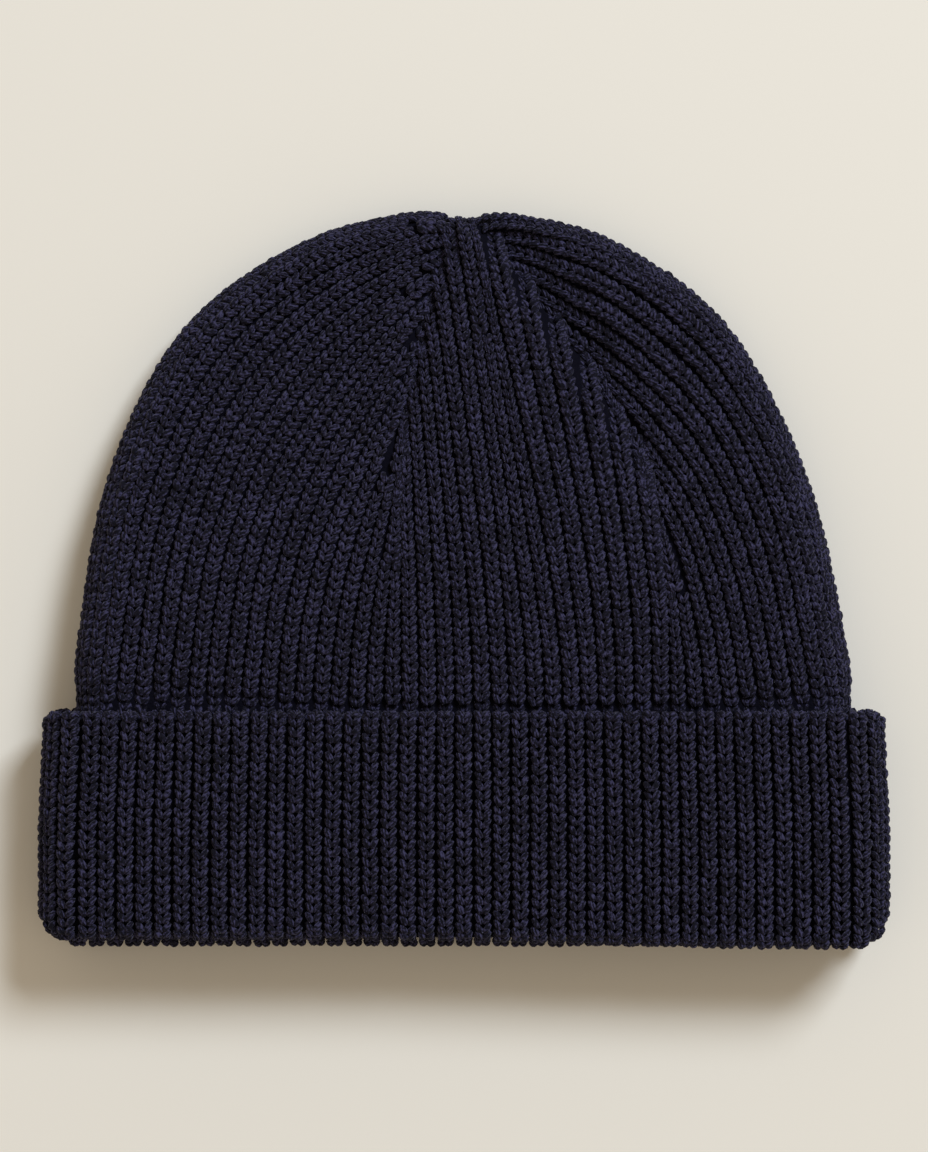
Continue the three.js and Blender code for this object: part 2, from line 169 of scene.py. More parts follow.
# %% The tube inside the cuff
def tube(rib):
    """Place round a long loop with round ends, counted in ribs from the left silhouette:
    the share along its straight part, and the direction out of the loop in X and Z."""
    local, side = rib % FACE_RIBS, np.where(rib % ALL_RIBS < FACE_RIBS, 1, -1)
    quarter = np.pi * CROWN_RADIUS / 2
    whole = 2 * (RIM_SPINE + quarter)
    along = local / FACE_RIBS * whole
    from_end = np.minimum(along, whole - along)
    end = np.where(along < whole / 2, -1, 1)
    angle = np.minimum(from_end / CROWN_RADIUS, np.pi / 2)
    spine = end * (1 - np.maximum(from_end - quarter, 0) / RIM_SPINE)
    return side * spine, side * end * np.cos(angle), side * np.sin(angle)


def cuff_spine(height):
    return CUFF_SPINE - RIM_PULL * smooth((height / CUFF_HEIGHT - PULL_START) / (1 - PULL_START))


def crown_spine(height):
    drawn = smooth((height - CROWN_START) / (CUFF_HEIGHT - CROWN_START))
    return cuff_spine(height) - CROWN_DRAW_IN * drawn


def corner_cut(rib, size):
    """How much a round corner takes off the edge: a quarter circle near the silhouettes."""
    spine, out_x, _ = tube(rib)
    reach = np.abs(spine * CUFF_SPINE + out_x * CUFF_RADIUS)
    share = np.clip((reach - CUFF_WIDTH / 2 + size) / size, 0, 1)
    return 1 - np.sqrt(1 - share * share)


def fold_shift(rib):
    """The fold's edge rises at the silhouettes, drops at the back, and the front's comes down a
    little from left to right."""
    spine, _, out_z = tube(rib)
    slope = FRONT_SLOPE * np.maximum(out_z, 0) * (smooth((spine + 0.2) / 1.1) - FRONT_RAISE)
    return FOLD_CORNER * corner_cut(rib, FOLD_CORNER) - BACK_DROP * (1 - out_z) / 2 - slope


def edge_lift(rib, share):
    """How far the cuff's cloth moves up with its two edges. share: 0 at the fold, 1 at the rim."""
    rim_shift = -RIM_CORNER_DROP * corner_cut(rib, RIM_CORNER)
    near_rim = smooth((share - PULL_START) / (1 - PULL_START))
    return fold_shift(rib) * (1 - share) + rim_shift * near_rim


def tube_rim(rib):
    spine, out_x, _ = tube(np.asarray(rib, float))
    x = spine * RIM_SPINE + out_x * CROWN_RADIUS
    return np.stack([x, np.full(np.shape(rib), float(CUFF_HEIGHT))], -1)


print("crown's width at the rim in mm:", round(2 * CROWN_HALF, 1))


# %% [markdown]
# The crown's cloth lies between two outlines, and its ribs run from the cuff's rim up to the darts.
# Each gore is blended between the lines at its two sides, and a rib turns late to its own end.
# That is why ribs fan, lean and meet at the darts as they do on the real hat.

# %% The crown's cloth
TIP_Y = CUFF_HEIGHT + CROWN_RISE - TIP_NOTCH
left_tip, right_tip = np.array([-TIP_WIDTH / 2, TIP_Y]), np.array([TIP_WIDTH / 2, TIP_Y])
left_outline = curve([*plan(LEFT_OUTLINE), left_tip])
right_outline = curve([*plan(RIGHT_OUTLINE), right_tip])
long_dart = curve([*plan(LONG_DART), left_tip])
short_dart = curve([*plan(SHORT_DART), right_tip])
long_foot_rib = curve([tube_rim(LONG_RIBS), *plan(LONG_FOOT_RIB), plan(LONG_DART)[0]])
short_foot_rib = curve([tube_rim(SHORT_START), *plan(SHORT_FOOT_RIB), plan(SHORT_DART)[0]])


def mirrored(line):
    return lambda share: line(share) * (-1, 1)


FACES = [(left_outline, right_outline), (mirrored(right_outline), mirrored(left_outline))]


def samples(line, side, steps=160):
    """Places along a curve, with the direction out of the outline at each."""
    share = np.linspace(0, 1, steps)
    along = line(share + 0.002) - line(share - 0.002)
    along /= np.linalg.norm(along, axis=1)[:, None]
    out = np.stack([-side * along[:, 1], side * along[:, 0]], 1)
    return line(share), out, share


def edge_samples(start, end):
    middle = np.linspace(-0.5, 0.5, 5)[:, None] * (TIP_WIDTH, 0) + (0, TIP_Y)
    parts = [samples(start, 1), (middle, np.tile([0.0, 1.0], (5, 1)), np.zeros(5)), samples(end, -1)]
    return [np.concatenate([part[k] for part in parts]) for k in range(3)]


EDGES = [edge_samples(*lines) for lines in FACES]
LONG_SAMPLES = samples(long_dart, -1)
SHORT_SAMPLES = samples(short_dart, -1)


AT_ONCE = 20000


def nearest(line, place):
    """The distance to a curve, how far beside it a place is, the curve's out and its share."""
    places, outs, shares = line
    index = np.empty(len(place), int)
    for start in range(0, len(place), AT_ONCE):
        part = place[start:start + AT_ONCE, None].astype(np.float32)
        apart = ((part - places[None].astype(np.float32)) ** 2).sum(-1)
        index[start:start + AT_ONCE] = apart.argmin(1)
    offset = place - places[index]
    beside = (offset * outs[index]).sum(1)
    along = np.sqrt(np.maximum((offset**2).sum(1) - beside**2, 0))
    distance = np.hypot(beside, np.maximum(along - 1, 0))
    return distance, beside, outs[index], shares[index]


def fold_height(place):
    """Height of the front's folds: two dart grooves, a valley and a ridge beside the short dart,
    and a dent, each a bell across its line."""
    long_distance = nearest(LONG_SAMPLES, place)[0]
    distance, beside, _, share = nearest(SHORT_SAMPLES, place)
    grooves = -DART_DEPTH * (bell(long_distance, DART_REACH) + bell(distance, DART_REACH))
    strength = smooth(share / FOLD_FADE)
    valley = -VALLEY_DEPTH * strength * bell(beside - VALLEY_REACH / 2, VALLEY_REACH)
    ridge = RIDGE_HEIGHT * strength * bell(beside + RIDGE_REACH, RIDGE_REACH)
    within = bell(np.maximum(distance - np.abs(beside), 0), VALLEY_REACH)
    dent = -DENT_DEPTH * bell(np.linalg.norm(place - plan([DENT])[0], axis=1), DENT_REACH)
    return grooves + (valley + ridge) * within + dent


def middle_end(share):
    """Where a middle rib ends: on the long dart, across the tip or on the short dart."""
    on_long = long_dart(share / LONG_DART_SHARE)
    on_short = short_dart((1 - share) / (1 - TIP_SHARE))
    across = np.clip((share - LONG_DART_SHARE) / (TIP_SHARE - LONG_DART_SHARE), 0, 1)[:, None]
    end = np.where((share < LONG_DART_SHARE)[:, None], on_long, mix(left_tip, right_tip, across))
    return np.where((share > TIP_SHARE)[:, None], on_short, end)


def guide(line, share, pace):
    return line(np.clip(share + pace * share * (1 - share), 0, 1))


def rib_place(face, local, share):
    """Where a rib lies seen from above: a blend of the lines at its gore's two sides, plus the
    turn to its own end that grows as share^LATE_TURN."""
    start_line, end_line = FACES[face]
    gores = [
        (0, LONG_RIBS, start_line, long_foot_rib, SWEEP, -SWEEP),
        (LONG_RIBS, SHORT_START, long_foot_rib, short_foot_rib, -SWEEP, -SWEEP),
        (SHORT_START, FACE_RIBS, short_foot_rib, end_line, -SWEEP, SWEEP),
    ]
    place = np.zeros((len(local), 2))
    which = np.where(local <= LONG_RIBS, 0, np.where(local < SHORT_START, 1, 2))
    for number, (first, last, left, right, left_pace, right_pace) in enumerate(gores):
        chosen = which == number
        if not chosen.any():
            continue
        rib, way = local[chosen], share[chosen]
        part = (rib - first) / (last - first)
        ends = [
            lambda: long_dart(1 - part**CROWDING),
            lambda: middle_end(part),
            lambda: short_dart(1 - (1 - part) ** CROWDING),
        ]
        rims = tube_rim(np.array([first, last - 1e-9]))[:, 0]
        at_rim = tube_rim(np.minimum(rib, FACE_RIBS - 1e-9))[:, 0]
        across = ((at_rim - rims[0]) / (rims[1] - rims[0]))[:, None]
        middle = mix(guide(left, way, left_pace), guide(right, way, right_pace), across)
        unturned = mix(left(np.ones(1)), right(np.ones(1)), across)
        place[chosen] = middle + (ends[number]() - unturned) * way[:, None] ** LATE_TURN
    return place


def on_cloth(face, place):
    """The cloth's outer surface over a place and the direction out of it: half a thickness above
    or below the middle, rounded off to the outline as a circle, plus the folds."""
    up = (place[:, 1] - CUFF_HEIGHT) / CROWN_RISE
    floor = LIFT * (1 - smooth(up / BACK_SETTLED))
    roof = mix(CROWN_ROOF, TIP_THICKNESS, smooth((up - SLOPE_START) / (1 - SLOPE_START)))
    radius = (roof - floor) / 2
    distance, _, out, _ = nearest(EDGES[face], place)
    outward = np.maximum(radius - distance, 0) / radius
    upward = np.sqrt(1 - outward * outward)
    fold = FOLD_STRENGTH * fold_height(place) * smooth(distance / radius)
    side = 1 if face == 0 else -1
    fold = fold if face == 0 else np.minimum(BACK_FOLD_SHARE * fold, 0)
    z = (roof + floor) / 2 + side * (upward * radius + fold)
    point = np.stack([side * place[:, 0], place[:, 1], z], 1)
    normal = np.stack([side * out[:, 0] * outward, out[:, 1] * outward, side * upward], 1)
    return point, normal


def crown_surface(rib, way):
    """The crown's outer face. way: 0 at the cuff's rim, 1 at the rib's end, straight on past its
    end above 1, and below 0 down the tube inside the cuff, one for each whole cuff height."""
    rib, way = np.broadcast_arrays(np.asarray(rib, float), np.asarray(way, float))
    shape = rib.shape
    rib, way = rib.ravel() % ALL_RIBS, way.ravel()
    point, normal = np.zeros((len(rib), 3)), np.zeros((len(rib), 3))
    below = way < 0
    height = CUFF_HEIGHT * (1 + way[below])
    spine, out_x, out_z = tube(rib[below])
    lift = fold_shift(rib[below]) * (1 - height / CUFF_HEIGHT)
    point[below] = np.stack([spine * crown_spine(height) + out_x * CROWN_RADIUS, height + lift,
                             CUFF_RADIUS + out_z * CROWN_RADIUS], 1)
    normal[below] = np.stack([out_x, np.zeros(len(out_x)), out_z], 1)
    for face in (0, 1):
        mine = ~below & (rib >= face * FACE_RIBS) & (rib < (face + 1) * FACE_RIBS)
        if mine.any():
            local, over = rib[mine] - face * FACE_RIBS, np.maximum(way[mine] - 1, 0)[:, None]
            place = rib_place(face, local, np.minimum(way[mine], 1))
            if over.any():
                before = rib_place(face, local, np.full(len(local), 1 - END_STEP))
                place = place + over * (place - before) / END_STEP
            point[mine], normal[mine] = on_cloth(face, place)
    return point.reshape(*shape, 3), normal.reshape(*shape, 3)


outline_shares = np.linspace(0, 1, 500)
OUTLINE_TOP = max(line(outline_shares)[:, 1].max() for line in (left_outline, right_outline))
SHIFT = np.array([0, 1000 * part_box("crown")[1].y - OUTLINE_TOP, 0])
print("the hat's middle lies", round(-SHIFT[1], 2), "mm above its front fold")

# %% [markdown]
# The cuff's cloth is followed along one path: up the inner side near the rim, over the rim, down
# the outside, round the bottom fold and into the mouth, where it becomes the crown's inner side.

# %% The cuff's path
RIM_SIDE = CUFF_HEIGHT - WALL / 2
INNER_START = 5
RIM_TURN = np.pi * WALL / 2
OUTSIDE = RIM_SIDE - FOLD_RADIUS
FOLD_TURN = np.pi * FOLD_RADIUS
PATH_RIM = INNER_START + RIM_TURN
PATH_FOLD = PATH_RIM + OUTSIDE
PATH_SEAT = PATH_FOLD + FOLD_TURN


def cuff_surface(rib, way):
    """The cuff's face at a number of millimetres along its path: a line, a half circle over the
    rim, a line, a half circle round the fold and a line up into the mouth."""
    rib, way = np.broadcast_arrays(np.asarray(rib, float), np.asarray(way, float))
    rim_angle = np.clip((way - INNER_START) / (WALL / 2), 0, np.pi)
    fold_angle = np.clip((way - PATH_FOLD) / FOLD_RADIUS, 0, np.pi)
    before = np.minimum(way - INNER_START, 0)
    down = np.clip(way - PATH_RIM, 0, OUTSIDE)
    after = np.maximum(way - PATH_SEAT, 0)
    inset = WALL / 2 * (1 + np.cos(rim_angle)) + FOLD_RADIUS * (1 - np.cos(fold_angle))
    height = (RIM_SIDE + before + WALL / 2 * np.sin(rim_angle) - down
              - FOLD_RADIUS * np.sin(fold_angle) + after)
    in_part = np.where(way < PATH_FOLD, -np.cos(rim_angle), np.cos(fold_angle))
    up_part = np.where(way < PATH_FOLD, -np.sin(rim_angle), np.sin(fold_angle))
    share = np.clip(height / CUFF_HEIGHT, 0, 1)
    lift = edge_lift(rib, share)
    spine, out_x, out_z = tube(rib)
    drawn = crown_spine(height) - cuff_spine(height)
    spine_size = cuff_spine(height) + np.where(way > PATH_SEAT, drawn, 0)
    radius = CUFF_RADIUS - inset
    x, z = spine * spine_size + out_x * radius, CUFF_RADIUS + out_z * radius
    point = np.stack([x, height + lift, z], -1)
    normal = np.stack([in_part * out_x, -up_part, in_part * out_z], -1)
    return point, normal


print("length of the cuff's path in mm:", round(PATH_SEAT, 1))

# %% [markdown]
# Every stitch of the rib is a small V of soft yarn whose point looks down to the mouth. Each of its
# two legs dips into the groove beside the rib at one end and into the rib's middle at the other.
# Numbers differ a little from leg to leg by chance, with a spread that is given for each.
# A leg is a tube of four rings with closed ends: 48 small triangles are enough, because thousands
# of them make the cloth. Each leg carries its distance along the yarn, the angle round it and a
# tone of its own, for the finish to read.

# %% The stitches
ROW_HEIGHT, ROW_SPREAD, START_SPREAD = 2.55, 0.035, 0.3
THINNEST, NARROWEST, WIDEST = 0.8, 2.7, 7.2
TIP_OVERRUN, TIP_REACH = 1.2, 11
DART_SINK, DART_SINK_REACH, OVERRUN_SINK = 1.05, 2.2, 0.2
TIP_RAISE, TIP_RAISE_REACH = 0.7, 7
RIM_SINK, RIM_SINK_REACH = 1.7, 3.8
USUAL_PITCH, SLIMMEST_YARN, FULLEST_YARN = 4.4, 0.82, 1.3
LEG_ACROSS = np.array([0.35, 0.32, 0.25, 0.165, 0.09, 0.05])
LEG_UP = np.array([0.58, 0.43, 0.17, -0.12, -0.38, -0.56])
LEG_DEPTH = np.array([2.4, 1.5, 1.08, 1.05, 1.22, 1.75])
LEG_RADIUS = np.array([0.70, 0.89, 0.93, 0.82])
LEG_FLATNESS = 1.06
ASIDE_SPREAD, DEPTH_SPREAD, RADIUS_SPREAD = 0.09, 0.10, 0.05
YARN_LENGTH, TONE, TONE_SPREAD = 400, 0.5, 0.17
SIDES = 6
RING_TURNS = np.arange(SIDES) / SIDES
RING_ANGLES = 2 * np.pi * RING_TURNS - np.pi / 2


def unit(vectors):
    return vectors / np.maximum(np.linalg.norm(vectors, axis=-1, keepdims=True), 1e-9)


def leg_faces(count):
    """Corner numbers of the closed tubes of a number of legs, quads between the rings and a fan of
    triangles at each end, with the turn round the yarn and the ring at every corner."""
    turn = np.arange(SIDES)
    after = (turn + 1) % SIDES
    rings = len(LEG_RADIUS)
    last = rings * SIDES + 1
    quads, quad_turns, quad_rings = [], [], []
    for ring in range(rings - 1):
        here, there = 1 + ring * SIDES, 1 + (ring + 1) * SIDES
        quads.append(np.stack([here + turn, there + turn, there + after, here + after], 1))
        quad_turns.append(np.stack([turn, turn, turn + 1, turn + 1], 1))
        quad_rings.append(np.tile([ring + 1, ring + 2, ring + 2, ring + 1], (SIDES, 1)))
    start = np.stack([0 * turn, 1 + turn, 1 + after], 1)
    end = np.stack([0 * turn + last, last - SIDES + after, last - SIDES + turn], 1)
    fan_turns = np.concatenate([np.stack([turn + 0.5, turn, turn + 1], 1),
                                np.stack([turn + 0.5, turn + 1, turn], 1)])
    fan_rings = np.concatenate([np.tile([0, 1, 1], (SIDES, 1)),
                                np.tile([rings + 1, rings, rings], (SIDES, 1))])
    base = (np.arange(count) * (last + 1))[:, None, None]
    faces = [(np.concatenate(quads)[None] + base).reshape(-1, 4),
             (np.concatenate([start, end])[None] + base).reshape(-1, 3)]
    turns = [np.concatenate(quad_turns).ravel() / SIDES, fan_turns.ravel() / SIDES]
    ring_numbers = [np.concatenate(quad_rings).ravel(), fan_rings.ravel()]
    return faces, turns, ring_numbers


def legs(surface, middle, pitch, ways, sink, size):
    """Tubes for the two legs of each stitch, laid out square to its rib. pitch is the rib's width
    in millimetres, ways holds the place along the rib at each point of a leg, sink is extra depth
    and size scales the yarn."""
    count = len(middle)
    side = np.array([-1, 1])[None, :, None]
    point, normal = surface(middle[:, None], ways)
    across = unit(np.cross(normal, unit(np.gradient(point, axis=1))))
    aside = side * LEG_ACROSS * pitch[:, None, None]
    aside = aside + chance.normal(0, ASIDE_SPREAD, (count, 1, 1))
    depth = LEG_DEPTH + sink[:, None, None] + chance.normal(0, DEPTH_SPREAD, (count, 2, 1))
    centre = point[:, None] + aside[..., None] * across[:, None]
    centre = centre - depth[..., None] * normal[:, None]
    centre = centre.reshape(-1, len(LEG_UP), 3)
    normal = np.repeat(normal, 2, axis=0)
    along = unit(np.gradient(centre, axis=1))
    flat = unit(np.cross(along, normal))
    rise = np.cross(flat, along)
    radius = LEG_RADIUS * np.repeat(size, 2)[:, None]
    radius = radius * chance.normal(1, RADIUS_SPREAD, (2 * count, 1))
    ring = (LEG_FLATNESS * np.cos(RING_ANGLES)[:, None] * flat[:, 1:-1, None]
            + np.sin(RING_ANGLES)[:, None] * rise[:, 1:-1, None])
    ring = centre[:, 1:-1, None] + radius[:, :, None, None] * ring
    places = np.concatenate([centre[:, :1], ring.reshape(2 * count, -1, 3), centre[:, -1:]], 1)
    steps = np.linalg.norm(np.diff(centre, axis=1), axis=2)
    travelled = np.concatenate([np.zeros((2 * count, 1)), np.cumsum(steps, 1)], 1)
    travelled += chance.uniform(0, YARN_LENGTH, (2 * count, 1))
    faces, turns, ring_numbers = leg_faces(2 * count)
    yarn = [np.stack([np.tile(turn, (2 * count, 1)), travelled[:, ring]], -1).reshape(-1, 2)
            for turn, ring in zip(turns, ring_numbers)]
    tone = np.repeat(chance.normal(TONE, TONE_SPREAD, 2 * count), len(LEG_RADIUS) * SIDES + 2)
    return places.reshape(-1, 3), faces, np.concatenate(yarn), tone


def block_line(surface, start, end, path):
    """Points along the middle line of a block of ribs, and the block's width in millimetres at
    each: the nearest distances to its two side lines."""
    ribs = ((start + end) / 2, start + 1e-6, end - 1e-6)
    middle, left, right = (surface(np.full(len(path), rib), path)[0] for rib in ribs)
    to_left, to_right = (np.linalg.norm(middle[:, None] - line[None], axis=2).min(axis=1)
                         for line in (left, right))
    return middle, to_left + to_right


def column(surface, start, end, path, whole, first_row, overrun, wider=()):
    """The stitches of one rib from its start to its end in ribs: rows at equal steps of the
    cloth's own length along the rib. A rib is there where every wider block that holds it is wide
    enough to be split, and a block of ribs where it is too narrow to be split. whole is the place
    where the rib ends, and overrun is how far its stitches go on past it."""
    line, width = block_line(surface, start, end, path)
    length = np.concatenate([[0], np.cumsum(np.linalg.norm(np.diff(line, axis=0), axis=1))])
    end_length = np.interp(whole, path, length)
    first_row = first_row + chance.uniform(-START_SPREAD, START_SPREAD)
    rows = np.arange(first_row, (end_length + overrun) / ROW_HEIGHT)
    rows = rows + chance.normal(0, ROW_SPREAD, len(rows))
    ways = np.interp((rows[:, None] + LEG_UP) * ROW_HEIGHT, length, path)
    at = np.interp(rows * ROW_HEIGHT, length, path)
    pitch = np.interp(at, path, width)
    here = surface(np.full(len(at), (start + end) / 2), at)[0]
    kept = pitch > THINNEST
    for wide_line, wide_width in wider:
        near = np.linalg.norm(here[:, None] - wide_line[None], axis=2).argmin(axis=1)
        kept &= wide_width[near] / 2 >= NARROWEST
    if end - start > 1:
        kept &= pitch / 2 < NARROWEST
    to_end = end_length - rows * ROW_HEIGHT
    from_tip = np.linalg.norm(here[:, :2] - (0, TIP_Y), axis=1)
    kept &= (to_end > -TIP_OVERRUN) | (from_tip > TIP_REACH)
    middle = np.full(kept.sum(), (start + end) / 2)
    return middle, ways[kept], np.minimum(pitch[kept], WIDEST), to_end[kept]


def stitched(surface, columns):
    """All stitches of some columns as one set of tubes. They sink beside a dart, more so past it,
    and where the crown goes down behind the cuff's rim, but less at the tip."""
    middle, ways, pitch, to_end = (np.concatenate([c[k] for c in columns]) for k in range(4))
    sink = DART_SINK * bell(np.maximum(to_end, 0), DART_SINK_REACH)
    sink = sink + OVERRUN_SINK * np.maximum(-to_end, 0)
    from_tip = np.linalg.norm(surface(middle, ways[:, 3])[0][:, :2] - (0, TIP_Y), axis=1)
    sink = sink * (1 - TIP_RAISE * bell(from_tip, TIP_RAISE_REACH))
    sink = sink + RIM_SINK * bell(ways.mean(axis=1) * CROWN_RISE, RIM_SINK_REACH)
    size = np.clip(pitch / USUAL_PITCH, SLIMMEST_YARN, FULLEST_YARN)
    return legs(surface, middle, pitch, ways, sink, size)


print("triangles in one leg:", 2 * SIDES * len(LEG_RADIUS))

# %% [markdown]
# A mesh is filled from whole arrays. The piece then rides on the hat's one body, hides the
# imported solid that it stands for and takes the finish that it is given.

# %% Making a piece
FLOOR_GAP = 0.02


def piece(name, places, faces, finish, node, yarn=None, tone=None, merge=False):
    """A named mesh from places in millimetres and lists of quads and triangles. Nothing goes
    below the floor, and merge sews places that coincide."""
    mesh = bpy.data.meshes.new(name)
    mesh.vertices.add(len(places))
    places = np.stack([places[:, 0], places[:, 1], np.maximum(places[:, 2], FLOOR_GAP)], 1)
    mesh.vertices.foreach_set("co", ((places + SHIFT) / 1000).astype(np.float32).ravel())
    corners = np.concatenate([face.ravel() for face in faces]).astype(np.int32)
    totals = np.concatenate([np.full(len(face), face.shape[1]) for face in faces])
    mesh.loops.add(len(corners))
    mesh.loops.foreach_set("vertex_index", corners)
    mesh.polygons.add(len(totals))
    starts = np.concatenate([[0], np.cumsum(totals)[:-1]]).astype(np.int32)
    mesh.polygons.foreach_set("loop_start", starts)
    mesh.update(calc_edges=True)
    if merge:
        shell = bmesh.new()
        shell.from_mesh(mesh)
        bmesh.ops.remove_doubles(shell, verts=shell.verts, dist=1e-6)
        bmesh.ops.recalc_face_normals(shell, faces=shell.faces)
        open_edges = sum(not edge.is_manifold for edge in shell.edges)
        print(name, "edges that are not shared by two faces:", open_edges)
        shell.to_mesh(mesh)
        shell.free()
    if yarn is not None:
        yarn_map = mesh.uv_layers.new(name="yarn")
        yarn_map.data.foreach_set("uv", yarn.astype(np.float32).ravel())
        tones = mesh.attributes.new("tone", "FLOAT", "POINT")
        tones.data.foreach_set("value", tone.astype(np.float32))
    mesh.polygons.foreach_set("use_smooth", np.ones(len(mesh.polygons), bool))
    mesh.materials.append(finish)
    thing = bpy.data.objects.new(name, mesh)
    bpy.context.scene.collection.objects.link(thing)
    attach(thing, "root")
    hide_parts(node)
    triangles = sum(len(face) * (face.shape[1] - 2) for face in faces)
    print(name, "triangles:", triangles)
    return thing


# %% [markdown]
# The finishes are written as sums. A small class wraps a wire of the node tree, so that ordinary
# Python operators add the Math nodes, and one method adds any other node.

# %% A small language for finishes
class Wire:
    def __init__(self, finish, socket):
        self.finish, self.socket = finish, socket

    def math(self, operation, first, second):
        return self.finish.node("ShaderNodeMath", {"operation": operation}, {0: first, 1: second})

    def __add__(self, other):
        return self.math("ADD", self, other)

    def __radd__(self, other):
        return self.math("ADD", other, self)

    def __mul__(self, other):
        return self.math("MULTIPLY", self, other)

    def __rmul__(self, other):
        return self.math("MULTIPLY", other, self)

    def sine(self):
        return self.math("SINE", self, 0.0)


class Finish:
    def __init__(self, name, **settings):
        self.material = bpy.data.materials.new(name)
        self.material.use_nodes = True
        self.tree = self.material.node_tree
        self.shader = self.tree.nodes["Principled BSDF"]
        for name, value in settings.items():
            socket = name.replace("_", " ").title().replace("Ior", "IOR")
            self.shader.inputs[socket].default_value = value

    def node(self, kind, settings=None, inputs=None, output=0):
        node = self.tree.nodes.new(kind)
        for key, value in (settings or {}).items():
            if key == "stops":
                ramp = node.color_ramp.elements
                while len(ramp) < len(value):
                    ramp.new(1)
                for element, (position, colour) in zip(ramp, value):
                    element.position, element.color = position, colour
            else:
                setattr(node, key, value)
        for key, value in (inputs or {}).items():
            self.join(value, node.inputs[key])
        return Wire(self, node.outputs[output])

    def join(self, value, socket):
        if isinstance(value, Wire):
            self.tree.links.new(value.socket, socket)
        else:
            socket.default_value = value

    def paint(self, **wires):
        for socket, wire in wires.items():
            self.join(wire, self.shader.inputs[socket.replace("_", " ").title()])
        return self.material


# %% [markdown]
# The yarn is a two-ply wool spun from dark navy fibres with a few pale ones, which gives the
# heathered look. Its plies twist round each other, its fibres catch the light as a soft sheen,
# and the cloth differs a little in tone from stitch to stitch. Its colour is also painted darker
# between the strands, as painted shade.

# %% The yarn's finish
NAVY_DEEP = (0.0011, 0.0009, 0.0042, 1)
NAVY = (0.0034, 0.0030, 0.0102, 1)
NAVY_PALE = (0.0370, 0.0345, 0.0800, 1)
# The paler end of the colours of the wool behind the stitches is still darker than the yarn's navy: painted
# shade.
SHADED_BACKING_PALE = (0.0020, 0.0018, 0.0058, 1)
SHEEN = (0.55, 0.53, 0.75, 1)
STRANDS, TWIST = 6, 2.4
STRETCH_ACROSS, STRETCH_ALONG = 9, 0.9
BUMP_HEIGHT = 0.0004


def noise(finish, vector, scale, detail, roughness=0.5):
    """A noise texture of a finish, read at a vector."""
    inputs = {"Vector": vector, "Scale": scale, "Detail": detail, "Roughness": roughness}
    return finish.node("ShaderNodeTexNoise", inputs=inputs)


def bumped(finish, height, strength):
    inputs = {"Strength": strength, "Distance": BUMP_HEIGHT, "Height": height}
    return finish.node("ShaderNodeBump", inputs=inputs)


def yarn_finish(name):
    """Wool yarn with strands along it and painted shade between them, flecks slid round with the strands,
    and fine fibres.
    """
    finish = Finish(name, roughness=0.88, specular_ior_level=0.16,
                    sheen_weight=0.10, sheen_roughness=0.45, sheen_tint=SHEEN)
    place = finish.node("ShaderNodeTexCoord", output=3)
    tone = finish.node("ShaderNodeAttribute", {"attribute_name": "tone"}, output=2)
    yarn = finish.node("ShaderNodeUVMap", {"uv_map": "yarn"})
    turn = finish.node("ShaderNodeSeparateXYZ", inputs={0: yarn})
    along = Wire(finish, turn.socket.node.outputs[1])
    strand_ridge_and_shade = 0.5 + 0.5 * ((STRANDS * turn + along * (1 / TWIST)) * (2 * np.pi)).sine()
    slid = finish.node("ShaderNodeCombineXYZ", inputs={
        0: turn * STRETCH_ACROSS + along * (STRETCH_ACROSS / STRANDS / TWIST),
        1: along * STRETCH_ALONG,
    })
    flecks = noise(finish, slid, 1.0, 1.0)
    fibres = noise(finish, place, 1400.0, 1.0, 0.6)
    patches = noise(finish, place, 110.0, 2.0)
    # The strands' term paints the colour paler on each strand and darker between them: painted shade in the
    # grooves. The other terms are the wool's own heather.
    heather_and_strand_shade = flecks * 0.62 + fibres * 0.48 + strand_ridge_and_shade * 0.07 + tone * 0.06 + patches * 0.10
    stops = [(0.56, NAVY_DEEP), (0.66, NAVY), (0.78, NAVY_PALE)]
    colour = finish.node("ShaderNodeValToRGB", {"stops": stops}, {0: heather_and_strand_shade})
    relief = strand_ridge_and_shade * 0.5 + fibres * 0.7 + flecks * 0.5
    return finish.paint(base_color=colour, normal=bumped(finish, relief, 0.9))


def shaded_backing_finish():
    """The same wool where it lies between the ribs, coloured darker than the yarn: painted shade."""
    finish = Finish("wool behind the stitches", roughness=0.95, specular_ior_level=0.1)
    place = finish.node("ShaderNodeTexCoord", output=3)
    fibres = noise(finish, place, 1500.0, 2.0)
    stops = [(0.35, NAVY_DEEP), (0.75, SHADED_BACKING_PALE)]
    colour = finish.node("ShaderNodeValToRGB", {"stops": stops}, {0: fibres})
    return finish.paint(base_color=colour, normal=bumped(finish, fibres, 0.7))


crown_yarn = yarn_finish("crown wool")
cuff_yarn = yarn_finish("cuff wool")
shaded_backing = shaded_backing_finish()
print("finishes:", len(bpy.data.materials))

# %% [markdown]
# Behind the stitches the cloth is a closed shell: the sunk parts of the yarn that close the fabric
# between the ribs. Its columns end on the same points of a dart from both sides, so merging the
# doubles sews the darts shut.

# %% The crown's cloth behind its stitches
DART_STEPS = 30
GROW_STEPS, GROW_POWER = 53, 1.4
OUTER_HEIGHTS, OUTER_INSETS = [CROWN_START, 30, 54, 58], [0.3, 0.3, 0.3, 2.6]
INNER_HEIGHTS, INNER_INSETS = [CROWN_START, 26, 32], [1.9, 1.9, 3.4]
BEHIND_STITCHES, INSIDE, NEAR_TIP = 2.15, 3.4, 0.01


def ring_faces(rows, columns):
    """Quads between rows of a ring of columns."""
    turn = np.arange(columns)
    row = (np.arange(rows - 1) * columns)[:, None]
    after = (turn + 1) % columns
    corners = [row + turn, row + after, row + columns + after, row + columns + turn]
    return np.stack(corners, -1).reshape(-1, 4)


